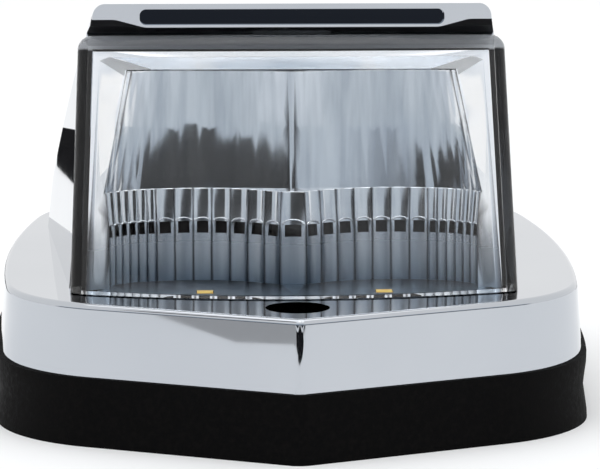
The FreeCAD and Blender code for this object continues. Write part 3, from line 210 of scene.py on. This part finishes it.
def litTopSeal():  # black at the sides, with painted light as a pale band along the top edge
    material, tree, shader = newMaterial("litTopSeal")
    crest = max(vert.co.z for vert in nodes["lens_seal"].data.vertices)
    bandLow = crest - sealLook["band"]
    share = heightShare(tree, bandLow, bandLow + sealLook["fade"])
    cloud = objectNoise(tree, blackLook["cloud"], blackLook["cloudDetail"])
    black = ramped(tree, cloud, blackLook["dark"], blackLook["light"])
    tone = addNode(tree, "ShaderNodeMix", data_type="RGBA")
    tone.inputs["B"].default_value = asColour(sealLook["paintedTopLight"])
    tree.links.new(share, tone.inputs["Factor"])
    tree.links.new(black, tone.inputs["A"])
    tree.links.new(tone.outputs["Result"], shader.inputs["Base Color"])
    shader.inputs["Roughness"].default_value = sealLook["rough"]
    shader.inputs["Specular IOR Level"].default_value = blackLook["shine"]
    return material


amberLook = {
    "dark": (0.86, 0.52, 0.06), "light": (1.0, 0.74, 0.20),
    "cloud": 700, "cloudDetail": 2, "rough": 0.3,
    "glow": (1.0, 0.66, 0.14), "glowStrength": 0.3,
}


def amberResin():
    look = amberLook
    material, tree, shader = newMaterial("amberResin")
    cloud = objectNoise(tree, look["cloud"], look["cloudDetail"])
    tree.links.new(ramped(tree, cloud, look["dark"], look["light"]), shader.inputs["Base Color"])
    shader.inputs["Roughness"].default_value = look["rough"]
    shader.inputs["Emission Color"].default_value = asColour(look["glow"])
    shader.inputs["Emission Strength"].default_value = look["glowStrength"]
    return material


plainLook = {"cloud": 300, "cloudDetail": 4}


def plainPart(name, dark, light, rough, metallic=0.0, shine=0.5):
    material, tree, shader = newMaterial(name)
    cloud = objectNoise(tree, plainLook["cloud"], plainLook["cloudDetail"])
    tree.links.new(ramped(tree, cloud, dark, light), shader.inputs["Base Color"])
    tree.links.new(ramped(tree, cloud, *rough), shader.inputs["Roughness"])
    shader.inputs["Metallic"].default_value = metallic
    shader.inputs["Specular IOR Level"].default_value = shine
    return material


looks = {
    "chrome": chromePlate(),
    "rubber": padRubber(),
    "mirror": mirrorCoat(),
    "lens": clearLens(),
    # painted shade: black used under the visor
    "seal": blackPlastic("paintedShadeBlack"),
    "paintedTopLight": litTopSeal(),
    "moulding": blackPlastic("blackMoulding"),
    "amber": amberResin(),
    "board": plainPart("boardResist", (0.62, 0.63, 0.6), (0.78, 0.79, 0.76), (0.3, 0.5)),
    "chip": plainPart("darkChip", (0.012, 0.012, 0.014), (0.03, 0.03, 0.033), (0.4, 0.6)),
    "can": plainPart("canMetal", (0.5, 0.5, 0.52), (0.66, 0.66, 0.68), (0.25, 0.4), 1.0),
    "pin": plainPart("tinnedPin", (0.62, 0.6, 0.52), (0.78, 0.76, 0.68), (0.2, 0.35), 1.0),
    "card": plainPart("cardBlack", (0.008, 0.008, 0.009), (0.014, 0.014, 0.015), (0.7, 0.9), shine=0.0),
    "recess": plainPart("windowShade", (0.006, 0.0045, 0.004), (0.016, 0.012, 0.010), (0.6, 0.8)),
    "greyCloth": plainPart("greyCloth", (0.40, 0.40, 0.40), (0.46, 0.46, 0.46), (0.8, 0.9), shine=0.0),
    # painted light: brighter copies of the mirror finish for the upper bezel and its corners
    "bezel": plainPart("brightBezel", (0.95, 0.96, 0.97), (1.0, 1.0, 1.0), (0.12, 0.20), 1.0),
    "corner": plainPart("satinCorner", (0.95, 0.96, 0.97), (1.0, 1.0, 1.0), (0.62, 0.70), 0.6),
    "screw": plainPart("screwSteel", (0.5, 0.5, 0.51), (0.66, 0.66, 0.67), (0.25, 0.4), 1.0),
}
print("materials made")

copySet = {"merge": 2e-6, "sliver": 1e-7, "weight": 100}


def smoothCopy(nodeName, pieceName, look, sharpAngle):  # merged copy that stands for a node
    mesh = nodes[nodeName].data.copy()
    mesh.name = pieceName
    form = bmesh.new()
    form.from_mesh(mesh)
    bmesh.ops.remove_doubles(form, verts=form.verts, dist=copySet["merge"])
    bmesh.ops.dissolve_degenerate(form, edges=form.edges, dist=copySet["sliver"])
    for face in form.faces:
        face.smooth = True
    for edge in form.edges:
        if len(edge.link_faces) == 2:
            edge.smooth = edge.calc_face_angle(0.0) < math.radians(sharpAngle)
    form.to_mesh(mesh)
    form.free()
    mesh.materials.clear()
    mesh.materials.append(look)
    piece = bpy.data.objects.new(pieceName, mesh)
    scene.collection.objects.link(piece)
    weights = piece.modifiers.new("weights", "WEIGHTED_NORMAL")
    weights.weight = copySet["weight"]
    weights.keep_sharp = True
    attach(piece, "root")
    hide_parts(nodeName)
    return piece


visorSet = {
    "lipY": -40 * mm, "front": -37.6 * mm, "rear": -28 * mm, "low": 76 * mm, "high": 83 * mm,
    "downTurn": -0.2,  # a face that looks down at least this much is underside
    "ends": 29 * mm, "reliefY": -38 * mm, "reliefNear": 0.7 * mm,
    "slotY": -39.0 * mm, "slotNear": 0.1 * mm, "slotHalf": 31.2 * mm, "slotLow": 80.9 * mm, "slotLean": 3.4,
}


def finishVisor(body):  # underside and end reliefs painted black as painted shade, and a slot whose back leans a little
    blackIndex = len(body.data.materials)
    # painted shade: black material for the visor's underside and end reliefs
    body.data.materials.append(looks["seal"])
    form = bmesh.new()
    form.from_mesh(body.data)
    for face in form.faces:
        middle = face.calc_center_median()
        inHeight = visorSet["low"] < middle.z < visorSet["high"]
        inDepth = visorSet["lipY"] < middle.y < visorSet["rear"]
        under = middle.y > visorSet["front"] and face.normal.z < visorSet["downTurn"]
        atEnd = abs(middle.x) > visorSet["ends"]
        relief = atEnd and abs(middle.y - visorSet["reliefY"]) < visorSet["reliefNear"]
        if inHeight and inDepth and (under or relief):
            face.material_index = blackIndex
    slope = math.tan(math.radians(visorSet["slotLean"]))
    for vert in form.verts:
        onBack = abs(vert.co.y - visorSet["slotY"]) < visorSet["slotNear"]
        rise = vert.co.z - visorSet["slotLow"]
        if onBack and abs(vert.co.x) < visorSet["slotHalf"] and rise > 0:
            vert.co.y += rise * slope
    form.to_mesh(body.data)
    form.free()


finishVisor(smoothCopy("lamp_housing", "chromeBody", looks["chrome"], 28))
smoothCopy("lens", "clearCover", looks["lens"], 35)
mirror = smoothCopy("reflector", "flutedMirror", looks["mirror"], 30)
mirrorParts = {"recess": 1, "bezel": 2, "corner": 3}  # places of the mirror's further finishes
for lookName in mirrorParts:
    mirror.data.materials.append(looks[lookName])

windowSet = {
    "deck": 28.3 * mm, "deckNear": 0.03 * mm, "low": 9.6 * mm, "high": 12.0 * mm, "spare": 0.02 * mm,
    "lean": 8.0, "deep": 0.65 * mm,
    "jointRise": 0.9, "jointLeast": 3 * mm,  # steep sharp edges longer than this are joints
    "upright": 0.5, "wholeBack": 6,  # corners of the two triangles that make a whole window back
}


def darkenWindows(form):  # the windows open on the black tray behind the mirror; their backs are painted near black, the tray's black together with painted shade
    footLine = [vert.co.xy for vert in form.verts
                if abs(vert.co.z - windowSet["deck"]) < windowSet["deckNear"]]
    low = windowSet["deck"] + windowSet["low"] - windowSet["spare"]
    high = windowSet["deck"] + windowSet["high"] + windowSet["spare"]
    halfway = (windowSet["low"] + windowSet["high"]) / 2
    shift = Vector((0, math.tan(math.radians(windowSet["lean"])) * halfway))
    for face in form.faces:
        if any(vert.co.z < low or vert.co.z > high for vert in face.verts):
            continue
        middle = face.calc_center_median().xy - shift
        if min((middle - spot).length for spot in footLine) > windowSet["deep"]:
            face.material_index = mirrorParts["recess"]


def markJoints(form):  # dark lines between the flutes
    layer = form.verts.layers.float.new("joint")
    for edge in form.edges:
        along = edge.verts[1].co - edge.verts[0].co
        steep = abs(along.z) > windowSet["jointRise"] * along.length
        if not edge.smooth and steep and abs(along.z) > windowSet["jointLeast"]:
            for vert in edge.verts:
                vert[layer] = 1.0


def windowBacks(form):  # normal and corners of every window's back
    found = {}
    for face in form.faces:
        if face.material_index == mirrorParts["recess"] and abs(face.normal.z) < windowSet["upright"]:
            offset = face.normal.dot(face.verts[0].co)
            key = (round(face.normal.x, 2), round(offset / (0.1 * mm)))
            corners = found.setdefault(key, (face.normal.copy(), []))[1]
            corners.extend(vert.co.copy() for vert in face.verts)
    return [back for back in found.values() if len(back[1]) >= windowSet["wholeBack"]]


bezelSet = {
    "tilt": 21.0, "upper": 55 * mm, "deep": 2.5 * mm, "deepNear": 0.05 * mm,
    "brightAbove": 52 * mm, "cornerTurn": (0.10, 0.25),
    "ledge": 46.9 * mm, "ledgeNear": 0.05 * mm, "frontNear": 0.02 * mm, "roundAbove": 34 * mm,
    "roundSize": 0.28 * mm, "roundSteps": 3,
}


def finishBezel(form):  # upper bezel and its corners in brighter copies of the mirror finish, as painted light; soft edges on the bezel and on the ledge
    tilt = math.radians(bezelSet["tilt"])
    facing = Vector((0, -math.cos(tilt), math.sin(tilt)))
    foremost = max(vert.co.dot(facing) for vert in form.verts if vert.co.z > bezelSet["upper"])
    deepest = foremost - bezelSet["deep"] - bezelSet["deepNear"]
    turnLeast, turnMost = bezelSet["cornerTurn"]
    for face in form.faces:
        shallow = all(vert.co.dot(facing) > deepest for vert in face.verts)
        if shallow and face.calc_center_median().z > bezelSet["brightAbove"]:
            onCorner = turnLeast < abs(face.normal.x) < turnMost
            face.material_index = mirrorParts["corner" if onCorner else "bezel"]

    def onLedge(vert):
        return abs(vert.co.z - bezelSet["ledge"]) < bezelSet["ledgeNear"]

    def onFront(vert):
        near = abs(vert.co.dot(facing) - foremost) < bezelSet["frontNear"]
        return near and vert.co.z > bezelSet["roundAbove"]

    rounded = []
    for edge in form.edges:
        if edge.smooth or len(edge.link_faces) != 2 or edge.calc_face_angle_signed(0.0) <= 0:
            continue
        if all(onLedge(vert) for vert in edge.verts) or all(onFront(vert) for vert in edge.verts):
            rounded.append(edge)
    made = bmesh.ops.bevel(form, geom=rounded, offset=bezelSet["roundSize"], offset_type="OFFSET",
                           segments=bezelSet["roundSteps"], profile=0.5, affect="EDGES",
                           clamp_overlap=True, material=-1)
    for face in made["faces"]:
        face.smooth = True
    print("rounded edges", len(rounded))


mirrorForm = bmesh.new()
mirrorForm.from_mesh(mirror.data)
darkenWindows(mirrorForm)
markJoints(mirrorForm)
backs = windowBacks(mirrorForm)
finishBezel(mirrorForm)
mirrorForm.to_mesh(mirror.data)
mirrorForm.free()

archSet = {"bead": 0.2 * mm, "beadSides": 8, "steps": 12, "out": 1.25 * mm, "spread": 1.25, "squash": 0.55}


def archBeads(windows):  # a small arched bead over every window
    form = bmesh.new()
    for normal, corners in windows:
        middle = sum(corners, Vector()) / len(corners)
        side = normal.cross(Vector((0, 0, 1))).normalized()
        half = max(abs((corner - middle).dot(side)) for corner in corners) * archSet["spread"]
        top = max(corner.z for corner in corners)
        crown = Vector((middle.x, middle.y, top)) + normal * archSet["out"]
        circle = bmesh.ops.create_circle(form, segments=archSet["beadSides"], radius=archSet["bead"])
        ring = circle["verts"]
        bmesh.ops.translate(form, vec=crown + side * half, verts=ring)
        before = set(form.verts) - set(ring)
        edges = list({edge for vert in ring for edge in vert.link_edges})
        bmesh.ops.spin(form, geom=ring + edges, cent=crown, axis=normal, angle=-math.pi,
                       steps=archSet["steps"])
        arch = [vert for vert in form.verts if vert not in before]
        bmesh.ops.scale(form, vec=(1, 1, archSet["squash"]), verts=arch, space=Matrix.Translation(-crown))
    openEnds = [edge for edge in form.edges if edge.is_boundary]
    bmesh.ops.holes_fill(form, edges=openEnds, sides=archSet["beadSides"])
    bmesh.ops.recalc_face_normals(form, faces=form.faces)
    for face in form.faces:
        face.smooth = True
    mesh = bpy.data.meshes.new("windowArches")
    form.to_mesh(mesh)
    form.free()
    mesh.materials.append(looks["mirror"])
    arches = bpy.data.objects.new("windowArches", mesh)
    scene.collection.objects.link(arches)
    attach(arches, "root")


archBeads(backs)
print("window arches", len(backs))
smoothCopy("mounting_gasket", "rubberPad", looks["rubber"], 35)
smoothCopy("lens_seal", "lensSeal", looks["paintedTopLight"], 30)
print("pieces made")

nodeLooks = {
    "module_tray": "moulding", "led_board": "board", "led_left": "amber", "led_right": "amber",
    "ballast_resistors": "chip", "rectifier_diode": "chip", "surge_suppressor": "chip",
    "smoothing_capacitor": "can", "solder_terminals": "pin", "board_screws": "screw",
    "module_screws": "screw", "wire_grommet": "rubber",
}
for nodeName, lookName in nodeLooks.items():
    slots = nodes[nodeName].data.materials
    slots.clear()
    slots.append(looks[lookName])
print("nodes dressed")

floorSet = {
    "size": 12.0, "light": (0.90, 0.905, 0.91), "darkShare": 0.98,
    "cloud": 3, "cloudDetail": 2, "rough": 0.9,
}


def paleFloor():
    material, tree, shader = newMaterial("paleFloor")
    cloud = objectNoise(tree, floorSet["cloud"], floorSet["cloudDetail"])
    light = floorSet["light"]
    dark = tuple(floorSet["darkShare"] * channel for channel in light)
    tree.links.new(ramped(tree, cloud, dark, light), shader.inputs["Base Color"])
    shader.inputs["Roughness"].default_value = floorSet["rough"]
    return material


floorMesh = bpy.data.meshes.new("floor")
floorForm = bmesh.new()
bmesh.ops.create_grid(floorForm, x_segments=1, y_segments=1, size=floorSet["size"] / 2)
floorForm.to_mesh(floorMesh)
floorForm.free()
floorMesh.materials.append(paleFloor())
floor = bpy.data.objects.new("floor", floorMesh)
scene.collection.objects.link(floor)

tentSet = {
    "strength": 1.0, "shade": (1.0, 1.0, 1.0),
    "gapFacing": (0, -1, 0), "gapCos": (0.76, 0.90),  # the tent is open towards the viewer
    "lowRise": (0.18, 0.36), "lowWiden": 0.62,  # and the gap is wider near the ground
    "gapSteps": (  # shade of the gap by height, ground to zenith
        (0.0, (0.02, 0.023, 0.03)), (0.06, (0.03, 0.035, 0.045)), (0.115, (0.42, 0.475, 0.54)),
        (0.30, (0.48, 0.53, 0.58)), (0.48, (0.64, 0.68, 0.73)), (0.70, (1.1, 1.12, 1.16)),
        (0.80, (1.6, 1.6, 1.6)), (0.97, (2.4, 2.4, 2.4))),
}


def softRange(tree, source, span, toLow=0.0, toHigh=1.0):
    soft = addNode(tree, "ShaderNodeMapRange", interpolation_type="SMOOTHSTEP")
    soft.inputs["From Min"].default_value = span[0]
    soft.inputs["From Max"].default_value = span[1]
    soft.inputs["To Min"].default_value = toLow
    soft.inputs["To Max"].default_value = toHigh
    tree.links.new(source, soft.inputs["Value"])
    return soft.outputs["Result"]


def whiteTent():
    world = bpy.data.worlds.new("softStudio")
    scene.world = world
    world.use_nodes = True
    tree = world.node_tree
    sky = tree.nodes["Background"]
    sky.inputs["Strength"].default_value = tentSet["strength"]
    coords = addNode(tree, "ShaderNodeTexCoord")
    parts = addNode(tree, "ShaderNodeSeparateXYZ")
    flat = addNode(tree, "ShaderNodeVectorMath", operation="MULTIPLY")
    flat.inputs[1].default_value = (1, 1, 0)
    heading = addNode(tree, "ShaderNodeVectorMath", operation="NORMALIZE")
    facing = addNode(tree, "ShaderNodeVectorMath", operation="DOT_PRODUCT")
    facing.inputs[1].default_value = tentSet["gapFacing"]
    tree.links.new(coords.outputs["Generated"], parts.inputs["Vector"])
    tree.links.new(coords.outputs["Generated"], flat.inputs[0])
    tree.links.new(flat.outputs["Vector"], heading.inputs[0])
    tree.links.new(heading.outputs["Vector"], facing.inputs[0])
    widened = addNode(tree, "ShaderNodeMath", operation="ADD")
    lowGap = softRange(tree, parts.outputs["Z"], tentSet["lowRise"], tentSet["lowWiden"], 0.0)
    tree.links.new(facing.outputs["Value"], widened.inputs[0])
    tree.links.new(lowGap, widened.inputs[1])
    gapShare = softRange(tree, widened.outputs["Value"], tentSet["gapCos"])
    gapShade = addNode(tree, "ShaderNodeValToRGB")
    for height, shade in tentSet["gapSteps"][1:-1]:
        gapShade.color_ramp.elements.new(height)
    for step, (height, shade) in zip(gapShade.color_ramp.elements, tentSet["gapSteps"]):
        step.position = height
        step.color = asColour(shade)
    tree.links.new(parts.outputs["Z"], gapShade.inputs["Fac"])
    tent = addNode(tree, "ShaderNodeMix", data_type="RGBA")
    tent.inputs["A"].default_value = asColour(tentSet["shade"])
    tree.links.new(gapShare, tent.inputs["Factor"])
    tree.links.new(gapShade.outputs["Color"], tent.inputs["B"])
    tree.links.new(tent.outputs["Result"], sky.inputs["Color"])


whiteTent()

boxSet = {"place": (0.0, -0.2, 1.2), "aim": (0, 0, 0.04), "side": 1.2, "power": 4}
boxLight = bpy.data.lights.new("topBox", "AREA")
boxLight.shape = "RECTANGLE"
boxLight.size = boxSet["side"]
boxLight.size_y = boxSet["side"]
boxLight.energy = boxSet["power"]
topBox = bpy.data.objects.new("topBox", boxLight)
scene.collection.objects.link(topBox)
boxAim = Vector(boxSet["aim"]) - Vector(boxSet["place"])
topBox.location = boxSet["place"]
topBox.rotation_euler = boxAim.to_track_quat("-Z", "Y").to_euler()

cardSet = {  # cards that only the chrome and the mirror show: look, place, width and depth, turn
    "sideCard": ("card", (-0.032, -0.097, 0.063), (0.085, 0.018), (90, 10, 0)),
    "noseCloth": ("card", (0.0, -0.60, 0.001), (0.44, 0.36), (0, 0, 0)),
    "greyCloth": ("greyCloth", (-0.722, -0.762, 0.0008), (0.3, 1.2), (0, 0, -59.7)),
    "bandCloth": ("card", (0.775, -0.81, 0.001), (0.3, 1.2), (0, 0, 59.7)),
    "leftCloth": ("card", (-0.19, 0.34, 0.001), (0.16, 0.28), (0, 0, 0)),
    "rightCloth": ("card", (0.19, 0.36, 0.001), (0.06, 0.30), (0, 0, 0)),
}


def shadeCard(name, look, place, size, turn):
    mesh = bpy.data.meshes.new(name)
    form = bmesh.new()
    bmesh.ops.create_grid(form, x_segments=1, y_segments=1, size=0.5)
    bmesh.ops.scale(form, vec=(*size, 1), verts=form.verts)
    form.to_mesh(mesh)
    form.free()
    mesh.materials.append(looks[look])
    cloth = bpy.data.objects.new(name, mesh)
    scene.collection.objects.link(cloth)
    cloth.location = place
    cloth.rotation_euler = tuple(math.radians(angle) for angle in turn)
    cloth.visible_camera = False
    cloth.visible_diffuse = False
    cloth.visible_shadow = False


for cardName, card in cardSet.items():
    shadeCard(cardName, *card)

cameraSet = {
    "place": (-21.65 * mm, -706 * mm, 143.3 * mm), "down": 9.01, "yaw": 2.0,
    "lens": 196.8, "sensor": 36, "near": 0.01,
}
cameraData = bpy.data.cameras.new("camera")
cameraData.lens = cameraSet["lens"]
cameraData.sensor_width = cameraSet["sensor"]
cameraData.sensor_fit = "HORIZONTAL"
cameraData.clip_start = cameraSet["near"]
camera = bpy.data.objects.new("camera", cameraData)
camera.location = cameraSet["place"]
pitch = math.radians(90 - cameraSet["down"])
camera.rotation_euler = Euler((pitch, 0, math.radians(-cameraSet["yaw"])), "XYZ")
scene.collection.objects.link(camera)
scene.camera = camera
scene.view_settings.view_transform = "Standard"
print("stage set")
